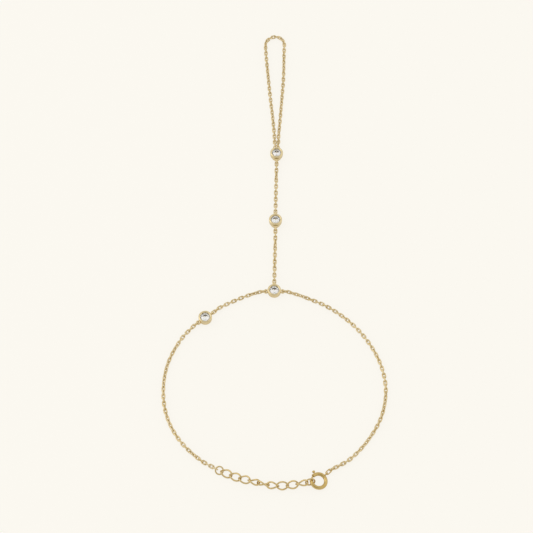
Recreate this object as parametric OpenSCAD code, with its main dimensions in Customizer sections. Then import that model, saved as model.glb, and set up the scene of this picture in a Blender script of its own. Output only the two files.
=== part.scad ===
// Hand chain bracelet: a wrist loop of fine cable chain with an extender and a spring ring clasp,
// a hand chain up the back of the hand, and a finger loop. Four round stones sit in bezels.
// It lies flat: X is to the right, Y towards the fingers, Z up, and the table is at zero.

/* [Wrist loop] */
// radius of the wrist loop at its widest, centre to chain
wrist_r = 30.75; // [28:0.25:36]

/* [Hand and finger] */
// length from the wrist stone to the finger stone
hand_l = 46.75; // [40:0.25:56]
// lean of the hand chain to the right, in degrees
hand_lean = 1; // [-2:0.5:3]
// length of the finger loop from its stone to its tip
finger_l = 44.8; // [40:0.2:52]
// width of the finger loop between its two strands
finger_w = 6.2; // [5.8:0.1:9]

/* [Cable chain] */
// spacing of the cable links
link_pitch = 1.13; // [1.05:0.01:1.3]
// outer width of a cable link
link_w = 1.18; // [1.12:0.01:1.3]
// thickness of the cable link's wire
link_wire = 0.27; // [0.22:0.01:0.29]
// gap kept between links that pull on each other
link_gap = 0.13; // [0.11:0.01:0.18]

/* [Bezels and stones] */
// diameter of each round stone
stone_d = 2.7; // [2.4:0.1:3.5]
// thickness of the bezel's wall beside the stone
cup_wall = 0.57; // [0.5:0.01:0.7]
// height of a bezel
cup_h = 2.05; // [2:0.05:2.6]
// thickness of the wire in a bezel's soldered eyes
eye_wire = 0.42; // [0.3:0.02:0.44]

/* [Extender] */
// spacing of the extender links
ext_pitch = 2.6; // [2.4:0.05:3]
// outer width of an extender link
ext_w = 2.45; // [2.3:0.05:2.8]
// thickness of the extender link's wire
ext_wire = 0.4; // [0.32:0.02:0.46]

/* [Clasp] */
// outer diameter of the spring ring
clasp_d = 4.9; // [4.5:0.1:6]
// thickness of the spring ring's tube
tube_d = 1; // [0.9:0.05:1.1]
// thickness of the sliding gate
gate_d = 0.44; // [0.36:0.02:0.5]

/* [Hidden] */
gold = [0.86, 0.76, 0.5];
clear = [0.9, 0.93, 0.95];

// Shape of the wrist loop: shares of its radius every 15 degrees, clockwise from the wrist stone.
loop_shares = [0.987, 0.976, 0.966, 0.968, 0.977, 0.993, 1, 0.987, 0.958, 0.937, 0.925, 0.923,
               0.916, 0.894, 0.905, 0.939, 0.972, 0.995, 1, 1, 0.989, 0.973, 0.965, 0.98];
loop_step = 360 / len(loop_shares);
// Shape of the finger loop: shares of its width and of its length, from the finger stone.
finger_route = [[-0.078, 0.08], [-0.096, 0.098], [-0.107, 0.159], [-0.185, 0.307], [-0.27, 0.42],
                [-0.385, 0.61], [-0.485, 0.78], [-0.53, 0.885], [-0.54, 0.93], [-0.485, 0.957],
                [-0.365, 0.976], [-0.235, 0.99], [-0.081, 0.996], [0.084, 0.993], [0.23, 0.982],
                [0.346, 0.965], [0.409, 0.942], [0.42, 0.915], [0.4, 0.84], [0.385, 0.72],
                [0.35, 0.6], [0.265, 0.44], [0.175, 0.272], [0.107, 0.159], [0.096, 0.098],
                [0.078, 0.08]];
// How far each extender link has rolled over along the chain.
ext_rolls = [0, 0, -3, -38, -78, -118, -155, -180, -220];

// Places of the four stones and the clasp
total_l = (1 + loop_shares[12]) * wrist_r + hand_l + finger_l;
loop_c = [0, -46.425 * total_l / 150.4];
wrist_c = loop_point(0);
side_c = loop_c + 0.952 * wrist_r * [sin(-42), cos(-42)];
finger_c = wrist_c + hand_l * [sin(hand_lean), cos(hand_lean)];
hand_c = (wrist_c + finger_c) / 2;
clasp_c = loop_c + 0.947 * wrist_r * [sin(156.3), cos(156.3)];

// Bezel: a cup with a flat back, a rounded lower edge and a lip pressed over the stone
cup_r = stone_d / 2 + cup_wall;
cup_round = 0.38 * cup_h;
lip_over = 0.04;
lip_r = (cup_wall + 0.01 + lip_over) / 2;
lip_z = cup_h - lip_r;
stone_gap = 0.048;
girdle_z = lip_z - sqrt(pow(lip_r + stone_gap, 2) - pow(lip_r - lip_over, 2));
seat_r = stone_d / 2 + 0.06;
eye_r = 0.5;
eye_off = 0.45;
eye_z = 0.42 * cup_h;
root_r = 0.5;
root_eye = 0.32;
bail_wire = 0.76 * eye_wire;
bail_r = 0.9;
bail_off = 0.3;
bail_z = 0.54 * cup_h;

// Stone: a round brilliant
table_r = 0.29 * stone_d;
star_r = 0.39 * stone_d;
crown_h = 0.145 * stone_d;
girdle_h = 0.026 * stone_d;
keel_h = 0.405 * stone_d;
keel_r = 0.11 * stone_d;

// Clasp: a spring ring with the gate in its tube
ring_r = (clasp_d - tube_d) / 2;
gap_from = 140;
gap_to = 172;
bore_r = gate_d / 2 + 0.11;
trigger_at = 118;
slot_h = 0.62;
neck_r = 0.2;
knob_r = 0.3;
knob_spread = 0.12;
knob_gap = 0.11;
clasp_eye_at = 44;
clasp_eye_wire = 0.28;
clasp_eye_r = 0.52;
clasp_eye_off = 0.36;
clasp_eye_up = 0.18;
jump_long = 2.1;
jump_wide = 1.2;
jump_wire = 0.3;
jump_roll = -10;
jump_turn = 44;
// The last link of the extender runs under the tube, so the clasp leans on it.
clasp_tilt = 9;
clasp_z = tube_d / 2 + ring_r * sin(clasp_tilt);

// Two wires that hook each other keep the gap between them.
function apart(a, b, gap = link_gap) = (a + b) / 2 + gap;
// How far short of another wire's middle a cable chain's first joint lies
function hook(wire, gap = link_gap) = apart(wire, link_wire, gap) - apart(link_wire, link_wire) / 2;
function loop_at(turn, share) = loop_c + share * wrist_r * [sin(turn), cos(turn)];
function loop_point(i) = loop_at(i * loop_step, loop_shares[i % len(loop_shares)]);

// A smooth curve through points, and evenly spaced stations along it
function ahead(p, i) = i < 0 ? 2 * p[0] - p[1]
  : i >= len(p) ? 2 * p[len(p) - 1] - p[len(p) - 2] : p[i];
function bend(a, b, c, d, t) = 0.5 * (2 * b + (c - a) * t + (2 * a - 5 * b + 4 * c - d) * t * t
  + (3 * b - a - 3 * c + d) * t * t * t);
function curve(p, m = 10) = concat(
  [for (i = [0:len(p) - 2], j = [0:m - 1])
    bend(ahead(p, i - 1), p[i], p[i + 1], ahead(p, i + 2), j / m)], [p[len(p) - 1]]);
// A bend uses up a little of the chain's length.
bend_slack = 0.002;
function turned(p, i) = i < 1 || i > len(p) - 2 ? 0
  : let (a = p[i] - p[i - 1], b = p[i + 1] - p[i])
    acos(max(-1, min(1, a * b / (norm(a) * norm(b)))));
function run(p, slack = bend_slack) = [for (i = 0, s = 0; i < len(p);
  i = i + 1, s = i < len(p) ? s + norm(p[i] - p[i - 1]) + slack * turned(p, i) : s) s];
function along(p, r, s) = [for (k = [0:len(p[0]) - 1])
  lookup(s, [for (i = [0:len(p) - 1]) [r[i], p[i][k]]])];
function stations(p, n) = let (r = run(p)) [for (i = [0:n]) along(p, r, r[len(p) - 1] * i / n)];
function ease(t) = let (u = max(0, min(1, t))) u * u * (3 - 2 * u);
function half_turn(a) = a - 180 * round(a / 180);

// A run of cable chain: its route, the heights and rolls of its two ends, and how it lies between
link_l = link_pitch + link_gap + 2 * link_wire;
link_r = (link_w - link_wire) / 2;
turning = 11;
// A chain rolls a little to and fro as it lies.
sway = 13;
sway_turn = 27;
drop_l = 3.6;
function lie_z(roll) = link_r * max(abs(sin(roll)), abs(cos(roll))) + link_wire / 2 + 0.03;
function links_in(p) = ceil(run(p)[len(p) - 1] / link_pitch);
function base_roll(i, n, from, mid, to) = let (t = min(turning, (n - 1) / 2),
  last = mid + half_turn(to - 90 * (n - 1) - mid), lies = mid + sway * sin(sway_turn * i))
  i < (n - 1) / 2 ? from + (lies - from) * ease(i / t)
  : last + (lies - last) * ease((n - 1 - i) / t);
function chain_of(route, n, za, zb, from, mid, to) = let (flat = stations(route, n),
  total = norm_run(flat))
  [[for (i = [0:n]) let (s = total * i / n, e = total - s,
      h = lie_z(base_roll(max(0, min(n - 1, i - 0.5)), n, from, mid, to)))
      [flat[i].x, flat[i].y, h + (za - h) * (1 - ease(s / drop_l)) + (zb - h) * (1 - ease(e / drop_l))]],
   [for (i = [0:n - 1]) base_roll(i, n, from, mid, to) + 90 * i]];
function norm_run(p) = run(p, 0)[len(p) - 1];

// Where a chain's end link hooks a bezel's eye
function eye_end(c, a, more = 0) = c + (cup_r + eye_off + eye_r - hook(eye_wire) + more)
  * [cos(a), sin(a)];
side_down = 215;
side_up = 40;

// The clasp's eye and jump ring, and the chain's end there
function in_clasp(r, a, up = 0) = [clasp_c.x + r * cos(a) * cos(clasp_tilt) + up * sin(clasp_tilt),
  clasp_c.y + r * sin(a), clasp_z - r * cos(a) * sin(clasp_tilt) + up * cos(clasp_tilt)];
jump_a = in_clasp(clasp_d / 2 + clasp_eye_off + clasp_eye_r
  - apart(clasp_eye_wire, jump_wire) / 2, clasp_eye_at, clasp_eye_up);
jump_l = jump_long - jump_wire - apart(clasp_eye_wire, jump_wire) / 2
  - apart(jump_wire, link_wire) / 2;
jump_b = jump_a + jump_l * [cos(jump_turn), sin(jump_turn), 0];

// The extender, measured back along the loop from the clasp
end_l = 2.9;
end_w = 2.45;
end_roll = 62;
start_d = 2.5;
ext_gap = 0.17;
ext_apart = apart(ext_wire, ext_wire, ext_gap);
ext_l = ext_pitch + ext_apart;
end_tip = in_clasp(ring_r - tube_d / 2 - ext_wire / 2 - 0.18, 190);
end_rest = 2 * ((end_w - ext_wire) / 2 * sin(end_roll) + ext_wire / 2 + 0.02) - end_tip.z;
ext_first = [end_tip.x, end_tip.y];
ext_path = curve(concat([ext_first], [for (i = [11:19]) loop_point(i)]));
ext_run = run(ext_path, 0);
end_reach = end_l - ext_wire - ext_apart / 2;
ext_end = end_reach + len(ext_rolls) * ext_pitch;
start_reach = start_d - ext_wire - ext_apart / 2 - hook(ext_wire, 0.16);
function ext_at(s) = along(ext_path, ext_run, s);
function ext_roll(i) = i < 0 || i >= len(ext_rolls) ? 0 : ext_rolls[len(ext_rolls) - 1 - i];
function ext_lie(roll) = ext_wire / 2 + 0.01 - min([for (t = [0:10:350])
  tilt(curb_mid(t, ext_l, ext_w - ext_wire), roll).z]);
function ext_z(i) = max(ext_lie(ext_roll(i)), i > 0 ? ext_lie(ext_roll(i - 1)) : end_rest);
function ext_joint(i) = concat(ext_at(end_reach + i * ext_pitch), [ext_z(i)]);
start_roll = 22;
start_z = (start_d - ext_wire) / 2 * sin(start_roll) + ext_wire / 2 + 0.03;
start_end = concat(ext_at(ext_end + start_reach), [start_z]);

// Routes of the six runs of cable chain: each leaves its eye straight on before it bends
lead_l = 0.9 * link_pitch;
right_route = concat([eye_end(wrist_c, 0)], curve(concat([eye_end(wrist_c, 0, lead_l)],
  [for (i = [1:9]) loop_point(i)], [[jump_b.x, jump_b.y]])));
left_route = concat([eye_end(side_c, side_down)], curve(concat([eye_end(side_c, side_down, lead_l)],
  [for (i = [20:-1:15]) loop_point(i)], [[start_end.x, start_end.y]])));
front_route = concat([eye_end(side_c, side_up)], curve([eye_end(side_c, side_up, lead_l),
  loop_point(22), loop_point(23), eye_end(wrist_c, 180, lead_l)]), [eye_end(wrist_c, 180)]);
lower_route = [eye_end(wrist_c, 90), eye_end(hand_c, -90, root_eye)];
upper_route = [eye_end(hand_c, 90), eye_end(finger_c, -90, root_eye)];
bail_at = 0.34;
bail_end = cup_r + bail_off + sqrt(bail_r * bail_r - bail_at * bail_at) - hook(bail_wire, 0.2);
finger_path = curve(concat([finger_c + [-bail_at, bail_end]],
  [for (p = finger_route) if (p.y * finger_l > bail_end + 0.6)
    finger_c + [p.x * finger_w, p.y * finger_l]], [finger_c + [bail_at, bail_end]]));

module laid(a, b, roll) {
  d = b - a;
  translate((a + b) / 2)
    rotate([roll, -asin(d.z / norm(d)), atan2(d.y, d.x)])
      children();
}

// A link with straight sides and round ends
module cable_link(l, w, d) {
  r = (w - d) / 2;
  s = l - w;
  for (m = [0, 1])
    mirror([m, 0, 0])
      translate([s / 2, 0, 0])
        rotate([0, 0, -90])
          rotate_extrude(angle = 180, $fn = 32)
            translate([r, 0])
              circle(d / 2, $fn = 16);
  for (m = [-1, 1])
    translate([-s / 2, m * r, 0])
      rotate([0, 90, 0])
        cylinder(d = d, h = s, $fn = 16);
}

module round_ring(d, wire) {
  rotate_extrude($fn = 48)
    translate([(d - wire) / 2, 0])
      circle(wire / 2, $fn = 24);
}

module cable_chain(c) {
  for (i = [0:len(c[1]) - 1])
    laid(c[0][i], c[0][i + 1], c[1][i])
      cable_link(link_l, link_w, link_wire);
}

// An oval curb link: its two ends are twisted opposite ways, so links lie flat one after another
curb_steps = 16;
curb_sides = 6;
curb_twist = 42;
function tilt(p, a) = [p.x, p.y * cos(a) - p.z * sin(a), p.y * sin(a) + p.z * cos(a)];
function curb_mid(t, l, w) = tilt([l / 2 * cos(t), w / 2 * sin(t), 0], curb_twist * cos(t));
function unit(v) = v / norm(v);
function curb_ring(t, l, w, d) = let (c = curb_mid(t, l, w),
  f = unit(curb_mid(t + 1, l, w) - curb_mid(t - 1, l, w)),
  side = unit(cross(f, tilt([0, 0, 1], curb_twist * cos(t)))), up = cross(side, f))
  [for (k = [0:curb_sides - 1]) c + d / 2 * (cos(k * 360 / curb_sides) * side
    + sin(k * 360 / curb_sides) * up)];
module curb_link(l, w, d) {
  n = curb_steps;
  m = curb_sides;
  points = [for (i = [0:n - 1]) each curb_ring(i * 360 / n, l - d, w - d, d)];
  polyhedron(points, [for (i = [0:n - 1], k = [0:m - 1])
    let (a = i * m, b = (i + 1) % n * m, q = (k + 1) % m)
      each [[a + k, b + q, b + k], [a + k, a + q, b + q]]]);
}

module extender_link(i) {
  color(gold)
    laid(ext_joint(i), ext_joint(i - 1), ext_roll(i - 1))
      curb_link(ext_l + ext_wire, ext_w, ext_wire);
}

// A cup: flat back, rounded lower edge, a seat for the stone and a round lip over it
module cup() {
  difference() {
    union() {
      rotate_extrude($fn = 64)
        intersection() {
          square([cup_r + 1, lip_z]);
          union() {
            square([cup_r - cup_round, lip_z]);
            translate([0, cup_round])
              square([cup_r, lip_z - cup_round]);
            translate([cup_r - cup_round, cup_round])
              circle(cup_round, $fn = 64);
          }
        }
      children();
    }
    rotate_extrude($fn = 64)
      polygon([[0, girdle_z - girdle_h - keel_h - 0.09],
               [0.2, girdle_z - girdle_h - keel_h - 0.09],
               [seat_r, girdle_z - girdle_h - 0.07], [seat_r, cup_h], [0, cup_h]]);
  }
  translate([0, 0, lip_z])
    rotate_extrude($fn = 64)
      translate([cup_r - lip_r + 0.01, 0])
        circle(lip_r, $fn = 32);
}

// A soldered eye stands on edge at the cup's wall, or lies flat.
module eye(a, more = 0, lean = 90) {
  rotate([0, 0, a])
    translate([cup_r + eye_off + more, 0, eye_z])
      rotate([lean, 0, 0])
        round_ring(2 * eye_r + eye_wire, eye_wire);
}

// The finger stone's bail is wide and lies flat, and holds both ends of the finger loop.
module bail() {
  translate([0, cup_r + bail_off, bail_z])
    round_ring(2 * bail_r + bail_wire, bail_wire);
}

// A cup on the hand runs to a point at its lower eye.
module root() {
  turn = acos(cup_r / (cup_r + root_r));
  translate([0, 0, 0.15 * cup_h])
    linear_extrude(0.6 * cup_h)
      polygon([[0, -cup_r - root_r], cup_r * [sin(turn), -cos(turn)], [0, 0],
               cup_r * [-sin(turn), -cos(turn)]]);
}

module brilliant() {
  top = [for (i = [0:7]) [table_r * cos(45 * i), table_r * sin(45 * i), crown_h]];
  slope = crown_h / (stone_d / 2 - table_r);
  star_z = slope * (stone_d / 2 - star_r * cos(22.5));
  star = [for (i = [0:7]) [star_r * cos(45 * i + 22.5), star_r * sin(45 * i + 22.5), star_z]];
  rim = [for (i = [0:15]) stone_d / 2 * [cos(22.5 * i), sin(22.5 * i), 0]];
  low = [for (p = rim) p - [0, 0, girdle_h]];
  keel_z = -girdle_h - keel_h * (1 - keel_r * cos(22.5) / (stone_d / 2));
  keel = [for (i = [0:7]) [keel_r * cos(45 * i + 22.5), keel_r * sin(45 * i + 22.5), keel_z]];
  points = concat(top, star, rim, low, keel, [[0, 0, -girdle_h - keel_h]]);
  polyhedron(points, concat(
    [[for (i = [7:-1:0]) i]],
    [for (i = [0:7]) let (j = (i + 1) % 8, g = 16 + 2 * i, n = 16 + (2 * i + 2) % 16)
      each [[i, j, 8 + i], [j, 8 + j, n, 8 + i], [8 + i, g + 1, g], [8 + i, n, g + 1],
            [g, g + 1, g + 17, g + 16], [g + 1, n, n + 16, g + 17],
            [g + 16, g + 17, 48 + i], [g + 17, n + 16, 48 + i], [48 + i, n + 16, 48 + j, 56]]]));
}

module stone_at(c) {
  color(clear)
    translate([c.x, c.y, girdle_z])
      brilliant();
}

module tube_arc(from, to, r) {
  rotate([0, 0, from])
    rotate_extrude(angle = to - from, $fn = 96)
      translate([ring_r, 0])
        circle(r, $fn = 32);
}

module wrist_chain_right() {
  color(gold)
    cable_chain(chain_of(right_route, links_in(right_route), eye_z, jump_b.z,
      90, 30, 90 - jump_roll));
}

module wrist_chain_left() {
  color(gold)
    cable_chain(chain_of(left_route, links_in(left_route), eye_z, start_end.z,
      90, 30, start_roll + 90));
}

module wrist_chain_front() {
  color(gold)
    cable_chain(chain_of(front_route, links_in(front_route), eye_z, eye_z, 0, 30, 90));
}

module hand_chain_lower() {
  color(gold)
    cable_chain(chain_of(lower_route, links_in(lower_route), eye_z, eye_z, 0, 20, 0));
}

module hand_chain_upper() {
  color(gold)
    cable_chain(chain_of(upper_route, links_in(upper_route), eye_z, eye_z, 0, 10, 0));
}

module finger_loop_chain() {
  n = 2 * ceil(links_in(finger_path) / 2);
  color(gold)
    cable_chain(chain_of(finger_path, n, bail_z, bail_z, 72, 62, 108));
}

module bezel_wrist() {
  color(gold)
    translate(wrist_c)
      cup()
        for (e = [[0, 0], [90, 90], [180, 0]]) eye(e.x, 0, e.y);
}

module bezel_side() {
  color(gold)
    translate(side_c)
      cup()
        for (e = [[side_down, 0], [side_up, 90]]) eye(e.x, 0, e.y);
}

module bezel_hand() {
  color(gold)
    translate(hand_c)
      cup() {
        eye(90);
        eye(-90, root_eye);
        root();
      }
}

module bezel_finger() {
  color(gold)
    translate(finger_c)
      cup() {
        eye(-90, root_eye);
        root();
        bail();
      }
}

module stone_wrist() {
  stone_at(wrist_c);
}

module stone_side() {
  stone_at(side_c);
}

module stone_hand() {
  stone_at(hand_c);
}

module stone_finger() {
  stone_at(finger_c);
}

module extender_ring() {
  color(gold)
    laid(start_end, ext_joint(len(ext_rolls)), start_roll)
      translate([(ext_apart / 2 - hook(ext_wire, 0.16)) / 2, 0, 0])
        round_ring(start_d, ext_wire);
}

module extender_end_link() {
  joint = ext_joint(0);
  back = joint + (joint - end_tip) * ext_apart / 2 / norm(joint - end_tip);
  color(gold)
    laid(back, end_tip, end_roll)
      cable_link(end_l, end_w, ext_wire);
}

module clasp_place() {
  translate([clasp_c.x, clasp_c.y, clasp_z])
    rotate([0, clasp_tilt, 0])
      children();
}

module clasp_ring() {
  color(gold)
    clasp_place()
      difference() {
        union() {
          tube_arc(gap_to, gap_from + 360, tube_d / 2);
          rotate([0, 0, clasp_eye_at])
            translate([clasp_d / 2 + clasp_eye_off, 0, clasp_eye_up])
              rotate([90, 0, 0])
                round_ring(2 * clasp_eye_r + clasp_eye_wire, clasp_eye_wire);
        }
        tube_arc(56, gap_from + 2, bore_r);
        tube_arc(gap_to - 2, gap_to + 14, bore_r);
        rotate([0, 0, 71])
          rotate_extrude(angle = 56, $fn = 96)
            translate([ring_r, -slot_h / 2])
              square([tube_d, slot_h]);
      }
}

module clasp_gate() {
  color(gold)
    clasp_place() {
      tube_arc(trigger_at - 8, gap_to + 5, gate_d / 2);
      rotate([0, 0, trigger_at])
        translate([ring_r, 0, 0])
          rotate([0, 90, 0]) {
            cylinder(r = neck_r, h = tube_d / 2 + knob_gap + knob_r, $fn = 24);
            translate([0, 0, tube_d / 2 + knob_gap + knob_r]) {
              rotate([90, 0, 0])
                cylinder(r = knob_r, h = 2 * knob_spread, center = true, $fn = 24);
              for (m = [-1, 1])
                translate([0, m * knob_spread, 0])
                  sphere(r = knob_r, $fn = 24);
            }
          }
    }
}

module clasp_jump_ring() {
  color(gold)
    laid(jump_a, jump_b, jump_roll)
      translate([(apart(jump_wire, link_wire) - apart(clasp_eye_wire, jump_wire)) / 4, 0, 0])
        cable_link(jump_long, jump_wide, jump_wire);
}

wrist_chain_right();
wrist_chain_left();
wrist_chain_front();
hand_chain_lower();
hand_chain_upper();
finger_loop_chain();
bezel_wrist();
bezel_side();
bezel_hand();
bezel_finger();
stone_wrist();
stone_side();
stone_hand();
stone_finger();
extender_ring();
extender_link(9);  // extender_link_1
extender_link(8);  // extender_link_2
extender_link(7);  // extender_link_3
extender_link(6);  // extender_link_4
extender_link(5);  // extender_link_5
extender_link(4);  // extender_link_6
extender_link(3);  // extender_link_7
extender_link(2);  // extender_link_8
extender_link(1);  // extender_link_9
extender_end_link();
clasp_ring();
clasp_gate();
clasp_jump_ring();
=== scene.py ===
"""Looks of a fine gold hand chain bracelet with four bezel-set round stones.

The bracelet lies flat on a cream card inside a white light tent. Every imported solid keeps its
place. The bezels, the stones, the clasp, the extender's ring and its end link are dressed where
they are. The cable chains and the extender's curb links are drawn smooth over the solids that
they stand for, link by link.
"""

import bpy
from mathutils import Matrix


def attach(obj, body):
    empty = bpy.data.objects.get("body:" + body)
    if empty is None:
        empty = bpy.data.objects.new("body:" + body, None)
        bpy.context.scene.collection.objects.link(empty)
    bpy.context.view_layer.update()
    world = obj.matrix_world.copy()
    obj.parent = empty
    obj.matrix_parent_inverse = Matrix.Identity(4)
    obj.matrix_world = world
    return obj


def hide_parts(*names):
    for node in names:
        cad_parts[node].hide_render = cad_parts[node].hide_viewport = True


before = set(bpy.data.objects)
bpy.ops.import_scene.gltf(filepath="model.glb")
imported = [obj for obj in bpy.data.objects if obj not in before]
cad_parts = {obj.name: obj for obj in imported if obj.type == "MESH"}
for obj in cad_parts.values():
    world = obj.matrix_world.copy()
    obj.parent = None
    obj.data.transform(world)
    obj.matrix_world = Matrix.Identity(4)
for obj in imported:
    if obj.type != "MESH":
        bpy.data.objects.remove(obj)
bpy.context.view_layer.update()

import logging
import math
from dataclasses import dataclass
from enum import Enum

import bpy
import numpy as np
from mathutils import Vector

MM = 0.001
PHOTO_PIXELS = 533
# Corners that agree to this many decimals of a metre are one corner.
WELD_DECIMALS = 7
# Half the angle, in radians, over which a wire's direction is measured.
HEADING_TURN = 0.001

log = logging.getLogger("hand_chain")

Colour = tuple[float, float, float]
Point = tuple[float, float, float]


class Drift(Enum):
    """How the tone of the gold wanders over a piece."""

    PER_LINK = "each link has a tone of its own"
    OVER_PIECE = "the tone wanders slowly over the piece"


class NodeBoard:
    """A node tree that is being drawn, with short calls for nodes and links."""

    # The Mix node's sockets for two colours: their share, the first and the second.
    MIX_SHARE, MIX_FIRST, MIX_SECOND = 0, 6, 7
    MIXED_COLOUR = 2

    def __init__(self, tree: bpy.types.NodeTree) -> None:
        """Starts with an empty tree.

        Args:
            tree: The material's, group's or world's tree.
        """
        self.tree = tree
        tree.nodes.clear()

    def add(self, kind: str, **values: object) -> bpy.types.Node:
        """Adds a node.

        Args:
            kind: The node's type name.
            **values: Its own settings by name, or its input sockets with spaces as underscores.

        Returns:
            The new node.
        """
        node = self.tree.nodes.new(kind)
        for name, value in values.items():
            if hasattr(node, name):
                setattr(node, name, value)
            else:
                node.inputs[name.replace("_", " ")].default_value = value
        return node

    def join(self, start: bpy.types.NodeSocket, end: bpy.types.NodeSocket) -> None:
        """Links an output socket to an input socket."""
        self.tree.links.new(start, end)

    def math(self, operation: str, a: object, b: object) -> bpy.types.NodeSocket:
        """Adds a calculation with two values.

        Args:
            operation: The Math node's operation.
            a: A socket or a number.
            b: A socket or a number.

        Returns:
            The result's socket.
        """
        node = self.add("ShaderNodeMath", operation=operation)
        for slot, value in enumerate((a, b)):
            if isinstance(value, (int, float)):
                node.inputs[slot].default_value = value
            else:
                self.join(value, node.inputs[slot])
        return node.outputs[0]

    def mix(self, share: bpy.types.NodeSocket, a: object, b: object) -> bpy.types.NodeSocket:
        """Adds a mix of two colours.

        Args:
            share: A socket, from 0 for a to 1 for b.
            a: A socket or a colour.
            b: A socket or a colour.

        Returns:
            The mixed colour's socket.
        """
        node = self.add("ShaderNodeMix", data_type="RGBA")
        self.join(share, node.inputs[self.MIX_SHARE])
        for slot, value in ((self.MIX_FIRST, a), (self.MIX_SECOND, b)):
            if isinstance(value, bpy.types.NodeSocket):
                self.join(value, node.inputs[slot])
            else:
                node.inputs[slot].default_value = (*value, 1.0)
        return node.outputs[self.MIXED_COLOUR]

    def blend(self, share: bpy.types.NodeSocket, a: bpy.types.Node,
              b: bpy.types.Node) -> bpy.types.Node:
        """Adds a mix of two shaders.

        Args:
            share: A socket, from 0 for a to 1 for b.
            a: The first shader node.
            b: The second shader node.

        Returns:
            The mix's node.
        """
        node = self.add("ShaderNodeMixShader")
        for slot, socket in enumerate((share, a.outputs[0], b.outputs[0])):
            self.join(socket, node.inputs[slot])
        return node

    def surface(self, shader: bpy.types.Node, kind: str = "ShaderNodeOutputMaterial") -> None:
        """Makes a shader node the tree's result, as a material's surface or a world's light."""
        self.join(shader.outputs[0], self.add(kind).inputs["Surface"])


def new_material(name: str) -> tuple[bpy.types.Material, NodeBoard]:
    """Makes a material.

    Args:
        name: Its name.

    Returns:
        The material and the empty board of its nodes.
    """
    made = bpy.data.materials.new(name)
    made.use_nodes = True
    return made, NodeBoard(made.node_tree)


def new_group(name: str, inputs: dict[str, object], outputs: dict[str, str]) -> NodeBoard:
    """Makes a shader node group with named sockets.

    Args:
        name: The group's name.
        inputs: Default value of each input by name; a tuple makes a colour.
        outputs: Socket type of each output by name.

    Returns:
        The group's board, with its Group Input and Group Output nodes on it.
    """
    tree = bpy.data.node_groups.new(name, "ShaderNodeTree")
    for key, value in inputs.items():
        kind = "NodeSocketColor" if isinstance(value, tuple) else "NodeSocketFloat"
        socket = tree.interface.new_socket(name=key, in_out="INPUT", socket_type=kind)
        socket.default_value = (*value, 1.0) if isinstance(value, tuple) else value
    for key, kind in outputs.items():
        tree.interface.new_socket(name=key, in_out="OUTPUT", socket_type=kind)
    board = NodeBoard(tree)
    board.add("NodeGroupInput", name="In")
    board.add("NodeGroupOutput", name="Out")
    return board


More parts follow.
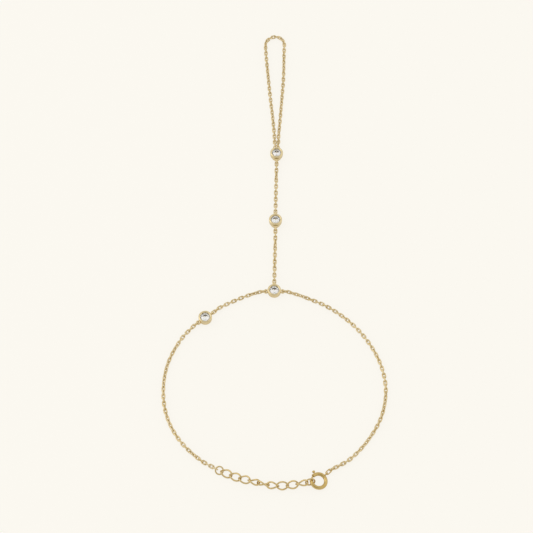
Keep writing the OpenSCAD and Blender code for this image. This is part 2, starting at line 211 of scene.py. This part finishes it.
class Effects:
    """The surface effects that the finishes share, each a node group built once."""

    # The polishing marks run two ways, and show where their noise rises through the crest.
    MARK_TURNS: tuple[Point, Point] = ((0.3, 0.2, 0.5), (1.1, 0.7, 2.2))
    CREST: tuple[float, float] = (0.52, 0.72)
    WAVES_PER_MM: float = 0.9
    # The clear stone's own colour, which the painted glints are mixed into.
    CLEAR: Colour = (0.985, 0.99, 1.0)

    @staticmethod
    def named(name: str) -> bpy.types.NodeTree:
        """Gives an effect's node group and builds it the first time.

        Args:
            name: The effect's name, one of this class's builders.

        Returns:
            The node group.
        """
        if name not in bpy.data.node_groups:
            getattr(Effects, name)()
        return bpy.data.node_groups[name]

    @staticmethod
    def place(board: NodeBoard, name: str, **values: object) -> bpy.types.Node:
        """Places an effect in a material.

        Args:
            board: The material's board.
            name: The effect's name.
            **values: Its inputs, with spaces as underscores.

        Returns:
            The group node.
        """
        node = board.add("ShaderNodeGroup", node_tree=Effects.named(name))
        for key, value in values.items():
            value = (*value, 1.0) if isinstance(value, tuple) else value
            node.inputs[key.replace("_", " ")].default_value = value
        return node

    @staticmethod
    def polish_marks() -> None:
        """Hairline marks that a polishing wheel leaves, and the faint waves under them."""
        board = new_group("polish_marks", {"Spacing": 0.2, "Length": 6.0, "Waves": 0.3},
                          {"Height": "NodeSocketFloat", "Mask": "NodeSocketFloat"})
        given, out = board.tree.nodes["In"], board.tree.nodes["Out"]
        spot = board.add("ShaderNodeTexCoord").outputs["Object"]
        scale = board.math("DIVIDE", 1.0 / MM, given.outputs["Spacing"])
        long_scale = board.math("DIVIDE", scale, given.outputs["Length"])
        lines = []
        for turn in Effects.MARK_TURNS:
            lay = board.add("ShaderNodeMapping", Rotation=turn)
            stretch = board.add("ShaderNodeCombineXYZ")
            for axis, size in (("X", scale), ("Y", long_scale), ("Z", scale)):
                board.join(size, stretch.inputs[axis])
            board.join(spot, lay.inputs["Vector"])
            board.join(stretch.outputs[0], lay.inputs["Scale"])
            grain = board.add("ShaderNodeTexNoise", Scale=1.0, Detail=3.0, Roughness=0.6)
            board.join(lay.outputs[0], grain.inputs["Vector"])
            crest = board.add("ShaderNodeMapRange", From_Min=Effects.CREST[0],
                              From_Max=Effects.CREST[1])
            board.join(grain.outputs[0], crest.inputs["Value"])
            lines.append(crest.outputs[0])
        marks = board.math("MAXIMUM", lines[0], lines[1])
        wave = board.add("ShaderNodeTexNoise", Scale=Effects.WAVES_PER_MM / MM, Detail=2.0)
        board.join(spot, wave.inputs["Vector"])
        swell = board.math("MULTIPLY", wave.outputs[0], given.outputs["Waves"])
        board.join(board.math("SUBTRACT", swell, marks), out.inputs["Height"])
        board.join(marks, out.inputs["Mask"])

    @staticmethod
    def gold_tone() -> None:
        """Gold that is paler in some places and warmer in others, link by link or slowly."""
        board = new_group("gold_tone", {"Warm": (0.7, 0.5, 0.25), "Pale": (0.8, 0.65, 0.4),
                                        "Patch": 2.0, "Per Link": 0.5},
                          {"Colour": "NodeSocketColor", "Patches": "NodeSocketFloat"})
        given, out = board.tree.nodes["In"], board.tree.nodes["Out"]
        drift = board.add("ShaderNodeTexNoise", Detail=3.0)
        board.join(board.add("ShaderNodeTexCoord").outputs["Object"], drift.inputs["Vector"])
        board.join(board.math("DIVIDE", 1.0 / MM, given.outputs["Patch"]), drift.inputs["Scale"])
        link = board.add("ShaderNodeNewGeometry").outputs["Random Per Island"]
        patch = board.math("MULTIPLY", drift.outputs[0],
                           board.math("SUBTRACT", 1.0, given.outputs["Per Link"]))
        share = board.math("ADD", patch, board.math("MULTIPLY", link, given.outputs["Per Link"]))
        board.join(board.mix(share, given.outputs["Warm"], given.outputs["Pale"]),
                   out.inputs["Colour"])
        board.join(share, out.inputs["Patches"])

    @staticmethod
    def painted_stone_glints() -> None:
        """Painted glints: faint violet, green and blue cells mixed into a clear cut stone's
        colour.
        """
        board = new_group("painted_stone_glints", {"Glint": 0.8, "Strength": 0.05},
                          {"Colour": "NodeSocketColor"})
        given, out = board.tree.nodes["In"], board.tree.nodes["Out"]
        cells = board.add("ShaderNodeTexVoronoi")
        board.join(board.add("ShaderNodeTexCoord").outputs["Object"], cells.inputs["Vector"])
        board.join(board.math("DIVIDE", 1.0 / MM, given.outputs["Glint"]), cells.inputs["Scale"])
        board.join(board.mix(given.outputs["Strength"], Effects.CLEAR, cells.outputs["Color"]),
                   out.inputs["Colour"])


@dataclass(frozen=True)
class GoldFinish:
    """Polished pale gold, between a warm and a pale tone.

    Spacing (of the polishing marks), patch (of one tone) and depth (of the marks) are in
    millimetres. The marks' length is in spacings. Gloss is the least and the greatest roughness,
    which follows the marks and the tone by mark_dull and tone_dull. Link_share is how much of the
    tone goes link by link where it drifts so, and bump is how strongly the marks tilt the light.
    """

    name: str
    warm: Colour
    pale: Colour
    spacing: float
    gloss: tuple[float, float]
    drift: Drift = Drift.OVER_PIECE
    link_share: float = 0.75
    patch: float = 1.6
    length: float = 9.0
    waves: float = 0.3
    depth: float = 0.0012
    bump: float = 0.5
    mark_dull: float = 0.5
    tone_dull: float = 0.5

    def material(self) -> bpy.types.Material:
        """Builds the finish.

        Returns:
            The new material.
        """
        made, board = new_material(self.name)
        shader = board.add("ShaderNodeBsdfPrincipled", Metallic=1.0)
        tone = Effects.place(board, "gold_tone", Warm=self.warm, Pale=self.pale, Patch=self.patch,
                             Per_Link=self.link_share if self.drift is Drift.PER_LINK else 0.0)
        marks = Effects.place(board, "polish_marks", Spacing=self.spacing, Length=self.length,
                              Waves=self.waves)
        rough = board.add("ShaderNodeMapRange", To_Min=self.gloss[0], To_Max=self.gloss[1])
        dull = board.math("ADD",
                          board.math("MULTIPLY", marks.outputs["Mask"], self.mark_dull),
                          board.math("MULTIPLY", tone.outputs["Patches"], self.tone_dull))
        bump = board.add("ShaderNodeBump", Strength=self.bump, Distance=self.depth * MM)
        board.join(tone.outputs["Colour"], shader.inputs["Base Color"])
        board.join(dull, rough.inputs["Value"])
        board.join(rough.outputs[0], shader.inputs["Roughness"])
        board.join(marks.outputs["Height"], bump.inputs["Height"])
        board.join(bump.outputs[0], shader.inputs["Normal"])
        board.surface(shader)
        return made


@dataclass(frozen=True)
class StoneFinish:
    """A clear cut stone, bright and hard, with faint coloured glints painted into its colour.

    Glint (the size of a painted glint's cell) and spacing (of the polishing marks) are in
    millimetres.
    The marks' length is in spacings, and roughness is what they have at most. Painted_glint_share
    is how much of the painted glints is mixed into the stone's clear colour.
    """

    name: str = "clear_stone"
    ior: float = 2.25
    glint: float = 0.7
    painted_glint_share: float = 0.06
    spacing: float = 0.04
    length: float = 3.0
    roughness: float = 0.02

    def material(self) -> bpy.types.Material:
        """Builds the finish.

        Returns:
            The new material.
        """
        made, board = new_material(self.name)
        shader = board.add("ShaderNodeBsdfPrincipled", Metallic=0.0, IOR=self.ior,
                           Transmission_Weight=1.0)
        # Painted glints: coloured cells mixed into the stone's colour, standing in for its fire.
        painted_glints = Effects.place(board, "painted_stone_glints", Glint=self.glint, Strength=self.painted_glint_share)
        marks = Effects.place(board, "polish_marks", Spacing=self.spacing, Length=self.length)
        rough = board.add("ShaderNodeMapRange", To_Min=0.0, To_Max=self.roughness)
        board.join(painted_glints.outputs["Colour"], shader.inputs["Base Color"])
        board.join(marks.outputs["Mask"], rough.inputs["Value"])
        board.join(rough.outputs[0], shader.inputs["Roughness"])
        board.surface(shader)
        return made


@dataclass(frozen=True)
class TableFinish:
    """A plain cream card with a fine tooth, lit through from below.

    Lit and strength are the light's colour and level. Wash is the light's share of what the
    camera sees of the card, where it washes out most of the shadows. Under_light is its share of
    what the bracelet gets from the card. Tooth is the number of grains to a metre, and grit is how
    far a grain goes from the card's colour towards the shade's.
    """

    name: str = "cream_card"
    card: Colour = (0.86, 0.82, 0.745)
    shade: Colour = (0.5, 0.5, 0.5)
    tooth: float = 900.0
    grit: float = 0.04
    roughness: float = 0.9
    lit: Colour = (0.973, 0.950, 0.890)
    strength: float = 1.03
    wash: float = 0.85
    under_light: float = 0.5

    def material(self) -> bpy.types.Material:
        """Builds the finish.

        Returns:
            The new material.
        """
        made, board = new_material(self.name)
        shader = board.add("ShaderNodeBsdfPrincipled", Roughness=self.roughness,
                           Specular_IOR_Level=0.0)
        grain = board.add("ShaderNodeTexNoise", Scale=self.tooth, Detail=2.0)
        share = board.add("ShaderNodeMapRange", To_Min=0.0, To_Max=self.grit)
        board.join(board.add("ShaderNodeTexCoord").outputs["Object"], grain.inputs["Vector"])
        board.join(grain.outputs[0], share.inputs["Value"])
        board.join(board.mix(share.outputs[0], self.card, self.shade),
                   shader.inputs["Base Color"])
        glow = board.add("ShaderNodeEmission", Color=(*self.lit, 1.0), Strength=self.strength)
        seen = board.add("ShaderNodeLightPath").outputs["Is Camera Ray"]
        more = board.math("MULTIPLY", seen, self.wash - self.under_light)
        board.surface(board.blend(board.math("ADD", more, self.under_light), shader, glow))
        return made


@dataclass
class Viewpoint:
    """The camera, at the height from which the bracelet was looked down on.

    The target, the sensor and the scale of a pixel are in millimetres, the focal length in pixels
    of the picture, the elevation in degrees and the clipping range in metres.
    """

    target: Point = (-2.23, -7.5, 0.0)
    elevation: float = 61.5
    focal: float = 1400.0
    scale: float = 0.29
    sensor: float = 36.0
    clip: tuple[float, float] = (0.01, 20.0)

    def build(self) -> None:
        """Makes the camera and hands it to the scene."""
        rise = math.radians(self.elevation)
        back = Vector((0.0, -math.cos(rise), math.sin(rise)))
        data = bpy.data.cameras.new("viewpoint")
        data.sensor_width = self.sensor
        data.lens = self.sensor * self.focal / PHOTO_PIXELS
        data.clip_start, data.clip_end = self.clip
        camera = bpy.data.objects.new("viewpoint", data)
        camera.location = (Vector(self.target) + back * self.focal * self.scale) * MM
        camera.rotation_euler = (-back).to_track_quat("-Z", "Y").to_euler()
        bpy.context.scene.collection.objects.link(camera)
        bpy.context.scene.camera = camera
        log.info("camera looks down at %.1f degrees", self.elevation)


@dataclass(frozen=True)
class SoftBox:
    """A soft rectangular light that faces the bracelet, in metres and watts."""

    name: str
    place: Point
    size: tuple[float, float]
    power: float
    colour: Colour = (1.0, 0.98, 0.94)

    def build(self) -> None:
        """Hangs the light where the camera and the stones don't see it."""
        data = bpy.data.lights.new(self.name, "AREA")
        data.shape = "RECTANGLE"
        data.size, data.size_y = self.size
        data.energy = self.power
        data.color = self.colour
        light = bpy.data.objects.new(self.name, data)
        light.location = self.place
        light.rotation_euler = (-light.location).to_track_quat("-Z", "Y").to_euler()
        light.visible_camera = False
        light.visible_transmission = False
        bpy.context.scene.collection.objects.link(light)
        log.info("%s hung at %.2f W", self.name, self.power)


@dataclass
class LightTent:
    """The table, the white tent over it with an opening, and two soft boxes.

    The tent's wall is as bright as wall_light, and the opening that the bracelet is looked at
    through as opening_light. The opening's angles are in degrees from its middle, with a soft edge
    outside. What shines through a stone sees no opening, and a wall that is brighter by the share
    stone_gain. The backdrop is what the camera sees past the table. The table's size is in metres,
    and its drop under the bracelet in millimetres.
    """

    wall: Colour = (1.0, 0.985, 0.95)
    backdrop: Colour = (0.965, 0.939, 0.871)
    wall_light: float = 0.9
    opening_light: float = 0.52
    stone_gain: float = 0.15
    opening_towards: Point = (0.0, -0.477, 0.879)
    opening_angle: float = 22.0
    opening_edge: float = 14.0
    table_size: float = 4.0
    table_drop: float = 0.02
    boxes: tuple[SoftBox, ...] = (
        SoftBox("box_left", (-0.75, 0.1, 0.55), (0.6, 0.8), 1.1),
        SoftBox("box_right", (0.75, 0.1, 0.5), (0.6, 0.8), 0.25, (1.0, 0.95, 0.87)),
    )

    def build(self) -> None:
        """Sets up the table, the tent's light and the soft boxes."""
        view = bpy.context.scene.view_settings
        view.view_transform, view.look = "Standard", "None"
        self.light_walls()
        self.lay_table()
        for box in self.boxes:
            box.build()

    def light_walls(self) -> None:
        """Gives the world the tent's even light, dim only at its opening overhead."""
        world = bpy.data.worlds.new("light_tent")
        bpy.context.scene.world = world
        world.use_nodes = True
        board = NodeBoard(world.node_tree)
        facing = board.add("ShaderNodeVectorMath", operation="DOT_PRODUCT")
        facing.inputs[1].default_value = Vector(self.opening_towards).normalized()
        board.join(board.add("ShaderNodeTexCoord").outputs["Generated"], facing.inputs[0])
        fade = board.add("ShaderNodeMapRange", interpolation_type="SMOOTHSTEP",
                         From_Min=math.cos(math.radians(self.opening_angle + self.opening_edge)),
                         From_Max=math.cos(math.radians(self.opening_angle)),
                         To_Min=0.0, To_Max=self.wall_light - self.opening_light)
        board.join(facing.outputs["Value"], fade.inputs["Value"])
        ray = board.add("ShaderNodeLightPath").outputs
        through = ray["Is Transmission Ray"]
        dim = board.math("MULTIPLY", fade.outputs[0], board.math("SUBTRACT", 1.0, through))
        gain = board.math("ADD", board.math("MULTIPLY", through, self.stone_gain), 1.0)
        light = board.math("MULTIPLY", board.math("SUBTRACT", self.wall_light, dim), gain)
        tent = board.add("ShaderNodeBackground", Color=(*self.wall, 1.0))
        board.join(light, tent.inputs["Strength"])
        backdrop = board.add("ShaderNodeBackground", Color=(*self.backdrop, 1.0))
        board.surface(board.blend(ray["Is Camera Ray"], tent, backdrop), "ShaderNodeOutputWorld")

    def lay_table(self) -> None:
        """Lays the table's card just under the bracelet."""
        half = self.table_size / 2
        mesh = bpy.data.meshes.new("table")
        mesh.from_pydata([(-half, -half, 0), (half, -half, 0), (half, half, 0), (-half, half, 0)],
                         [], [(0, 1, 2, 3)])
        mesh.materials.append(TableFinish().material())
        table = bpy.data.objects.new("table", mesh)
        table.location.z = -self.table_drop * MM
        bpy.context.scene.collection.objects.link(table)
        log.info("table laid")


def dress(node: str, finish: bpy.types.Material) -> None:
    """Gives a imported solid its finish.

    Args:
        node: The solid's name.
        finish: Its material.
    """
    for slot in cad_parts[node].material_slots:
        slot.material = finish
    log.info("%s dressed in %s", node, finish.name)


@dataclass
class LinkPose:
    """Where a link lies: its middle, and its length, width and thickness directions."""

    middle: np.ndarray
    axes: np.ndarray

    @staticmethod
    def of(spots: np.ndarray, shares: np.ndarray) -> "LinkPose":
        """Finds how a link lies from the spread of its skin.

        Args:
            spots: One point on each triangle of its skin, a row each.
            shares: The triangles' areas, up to one common factor.

        Returns:
            Its pose, with the three directions as columns of a right-handed frame.
        """
        middle = np.average(spots, axis=0, weights=shares)
        _, spread = np.linalg.eigh(np.cov((spots - middle).T, aweights=shares))
        length, width = spread[:, 2], spread[:, 1]
        return LinkPose(middle, np.stack([length, width, np.cross(length, width)], axis=1))

    @staticmethod
    def all_in(node: str) -> list["LinkPose"]:
        """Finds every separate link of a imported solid.

        Args:
            node: The solid's name.

        Returns:
            The links' poses, ordered by each link's first corner.
        """
        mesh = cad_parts[node].data
        mesh.calc_loop_triangles()
        corners = np.empty(len(mesh.vertices) * 3)
        mesh.vertices.foreach_get("co", corners)
        trios = np.empty(len(mesh.loop_triangles) * 3, dtype=np.int32)
        mesh.loop_triangles.foreach_get("vertices", trios)
        corners, same = np.unique(np.round(corners.reshape(-1, 3), WELD_DECIMALS), axis=0,
                                  return_inverse=True)
        trios = same.reshape(-1)[trios].reshape(-1, 3)
        # Each corner takes the lowest label next to it, until a link's corners all share one.
        label = np.arange(len(corners))
        while True:
            lowest = label.copy()
            for k in range(3):
                np.minimum.at(lowest, trios[:, k], label[trios].min(axis=1))
            lowest = lowest[lowest]
            if np.array_equal(lowest, label):
                break
            label = lowest
        spots = corners[trios].mean(axis=1)
        sides = corners[trios[:, 1:]] - corners[trios[:, :1]]
        shares = np.linalg.norm(np.cross(sides[:, 0], sides[:, 1]), axis=1)
        owner = label[trios[:, 0]]
        return [LinkPose.of(spots[owner == one], shares[owner == one])
                for one in np.unique(owner)]


@dataclass(frozen=True)
class WireLink:
    """A closed link of round wire.

    The length and width are of the wire's middle line, and the wire is its thickness, all in
    millimetres. Steps go round the link and sides round the wire.
    """

    length: float
    width: float
    wire: float
    steps: int
    sides: int

    def middle_line(self, turn: np.ndarray) -> np.ndarray:
        """Gives points on the wire's middle line: a plain oval.

        Args:
            turn: Angles round the link, in radians.

        Returns:
            One row of x, y and z for each angle.
        """
        return np.stack([self.length / 2 * np.cos(turn), self.width / 2 * np.sin(turn),
                         np.zeros_like(turn)], axis=-1)

    def upright(self, turn: np.ndarray) -> np.ndarray:
        """Gives the direction across the link's plane at each angle."""
        return np.stack([np.zeros_like(turn), np.zeros_like(turn), np.ones_like(turn)], axis=-1)

    def thickness(self, turn: np.ndarray) -> np.ndarray:
        """Gives the wire's thickness at each angle."""
        return np.full_like(turn, self.wire)

    def skin(self) -> tuple[np.ndarray, np.ndarray]:
        """Sweeps the wire round the link.

        Returns:
            The points, in metres, and the four corners of each face.
        """
        turn = np.linspace(0.0, 2 * math.pi, self.steps, endpoint=False)
        heading = self.middle_line(turn + HEADING_TURN) - self.middle_line(turn - HEADING_TURN)
        heading /= np.linalg.norm(heading, axis=1)[:, None]
        side = np.cross(heading, self.upright(turn))
        side /= np.linalg.norm(side, axis=1)[:, None]
        rise = np.cross(side, heading)
        around = np.linspace(0.0, 2 * math.pi, self.sides, endpoint=False)[None, :, None]
        points = self.middle_line(turn)[:, None, :] + self.thickness(turn)[:, None, None] / 2 * (
            np.cos(around) * side[:, None, :] + np.sin(around) * rise[:, None, :])
        here = np.arange(self.steps)[:, None] * self.sides
        ahead = np.roll(here, -1, axis=0)
        spot = np.arange(self.sides)[None, :]
        beside = np.roll(spot, -1, axis=1)
        faces = np.stack([here + spot, ahead + spot, ahead + beside, here + beside], axis=-1)
        return points.reshape(-1, 3) * MM, faces.reshape(-1, 4)

    def draw(self, name: str, node: str, slot: str, gold: bpy.types.Material) -> None:
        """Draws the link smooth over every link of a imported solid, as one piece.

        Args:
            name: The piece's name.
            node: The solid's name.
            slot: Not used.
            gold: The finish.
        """
        points, faces = self.skin()
        poses = LinkPose.all_in(node)
        mesh = bpy.data.meshes.new(name)
        mesh.from_pydata(
            np.concatenate([points @ pose.axes.T + pose.middle for pose in poses]).tolist(), [],
            np.concatenate([faces + i * len(points) for i in range(len(poses))]).tolist())
        mesh.polygons.foreach_set("use_smooth", [True] * len(mesh.polygons))
        mesh.materials.append(gold)
        piece = bpy.data.objects.new(name, mesh)
        bpy.context.scene.collection.objects.link(piece)
        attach(piece, "bracelet")
        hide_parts(node)
        log.info("%s: %d links with %d faces", name, len(poses), len(mesh.polygons))


@dataclass(frozen=True)
class CableLink(WireLink):
    """A link with straight sides and round ends, with a small soldered seam on one side.

    The seam is what it adds to the wire's thickness, and seam_length its half length, both in
    millimetres.
    """

    length: float = 1.56
    width: float = 0.82
    wire: float = 0.36
    steps: int = 44
    sides: int = 12
    seam: float = 0.035
    seam_length: float = 0.12

    def middle_line(self, turn: np.ndarray) -> np.ndarray:
        """Gives points on the wire's middle line: straight sides and round ends.

        Args:
            turn: Angles round the link, in radians; they are spread evenly along the wire.

        Returns:
            One row of x, y and z for each angle.
        """
        end = self.width / 2
        half = (self.length - self.width) / 2
        quarter = half + math.pi / 2 * end
        way = np.mod(turn / (2 * math.pi), 1.0) * 4 * quarter
        lap, side = np.divmod(way + quarter, 2 * quarter)
        past = side - quarter
        bend = np.clip((np.abs(past) - math.pi / 2 * end) / half, 0.0, 1.0)
        angle = np.clip(past / end, -math.pi / 2, math.pi / 2)
        x = half * (1.0 - bend) + end * np.cos(angle)
        y = end * np.sin(angle)
        sign = np.where(np.mod(lap, 2) < 1, 1.0, -1.0)
        return np.stack([sign * x, sign * y, np.zeros_like(x)], axis=-1)

    def thickness(self, turn: np.ndarray) -> np.ndarray:
        """Gives the wire's thickness, a little more at the seam.

        Args:
            turn: Angles round the link, in radians.

        Returns:
            The thickness at each angle.
        """
        spot = self.middle_line(turn)
        near = np.exp(-(spot[:, 0] / self.seam_length) ** 2) * (spot[:, 1] > 0)
        return self.wire + self.seam * near


@dataclass(frozen=True)
class CurbLink(WireLink):
    """An oval link whose ends are twisted opposite ways, so that links lie flat in a row.

    The twist is each end's, in degrees.
    """

    length: float = 3.17
    width: float = 2.05
    wire: float = 0.45
    steps: int = 96
    sides: int = 20
    twist: float = 42.0

    def lean(self, turn: np.ndarray) -> np.ndarray:
        """Gives how far the link's plane is twisted at each angle, in radians."""
        return math.radians(self.twist) * np.cos(turn)

    def middle_line(self, turn: np.ndarray) -> np.ndarray:
        """Gives points on the wire's middle line: a twisted oval.

        Args:
            turn: Angles round the link, in radians.

        Returns:
            One row of x, y and z for each angle.
        """
        lean = self.lean(turn)
        across = self.width / 2 * np.sin(turn)
        return np.stack([self.length / 2 * np.cos(turn), across * np.cos(lean),
                         across * np.sin(lean)], axis=-1)

    def upright(self, turn: np.ndarray) -> np.ndarray:
        """Gives the direction across the twisted link's plane at each angle."""
        lean = self.lean(turn)
        return np.stack([np.zeros_like(lean), -np.sin(lean), np.cos(lean)], axis=-1)


@dataclass
class Chains:
    """The six runs of fine cable chain."""

    names: tuple[str, ...] = ("wrist_chain_right", "wrist_chain_left", "wrist_chain_front",
                              "hand_chain_lower", "hand_chain_upper", "finger_loop_chain")
    link: CableLink = CableLink()
    finish: GoldFinish = GoldFinish(
        "chain_gold", warm=(0.68, 0.54, 0.28), pale=(0.81, 0.68, 0.43),
        spacing=0.03, gloss=(0.28, 0.42), drift=Drift.PER_LINK)

    def build(self) -> None:
        """Draws the chains' links smooth."""
        gold = self.finish.material()
        for name in self.names:
            self.link.draw(f"cable_{name}", name, "chain", gold)


@dataclass
class Bezels:
    """The four cups with their soldered eyes, and the stones pressed into them."""

    places: tuple[str, ...] = ("wrist", "side", "hand", "finger")
    metal: GoldFinish = GoldFinish(
        "bezel_gold", warm=(0.705, 0.565, 0.3), pale=(0.83, 0.705, 0.45),
        spacing=0.07, gloss=(0.05, 0.13))
    stone: StoneFinish = StoneFinish()

    def build(self) -> None:
        """Dresses the cups and the stones."""
        gold, clear = self.metal.material(), self.stone.material()
        for place in self.places:
            dress(f"bezel_{place}", gold)
            dress(f"stone_{place}", clear)


@dataclass
class Extender:
    """The ring, nine curb links and end link that the clasp hooks into."""

    links: int = 9
    link: CurbLink = CurbLink()
    plain: tuple[str, ...] = ("extender_ring", "extender_end_link")
    finish: GoldFinish = GoldFinish(
        "extender_gold", warm=(0.59, 0.44, 0.185), pale=(0.725, 0.58, 0.315),
        spacing=0.04, gloss=(0.14, 0.28))

    def build(self) -> None:
        """Dresses the ring and the end link, and draws the curb links smooth."""
        gold = self.finish.material()
        for name in self.plain:
            dress(name, gold)
        for number in range(1, self.links + 1):
            name = f"extender_link_{number}"
            self.link.draw(f"curb_{name}", name, "extender", gold)


@dataclass
class Clasp:
    """The spring ring with its eye, the sliding gate and the jump ring."""

    parts: tuple[str, ...] = ("clasp_ring", "clasp_gate", "clasp_jump_ring")
    finish: GoldFinish = GoldFinish(
        "clasp_gold", warm=(0.53, 0.36, 0.105), pale=(0.70, 0.535, 0.24),
        spacing=0.05, gloss=(0.1, 0.2))

    def build(self) -> None:
        """Dresses the clasp."""
        gold = self.finish.material()
        for name in self.parts:
            dress(name, gold)


def main() -> None:
    """Builds the camera, the light and the bracelet's looks in order."""
    logging.basicConfig(level=logging.INFO, format="%(name)s: %(message)s")
    for part in (Viewpoint(), LightTent(), Chains(), Bezels(), Extender(), Clasp()):
        part.build()


if __name__ == "__main__":
    main()
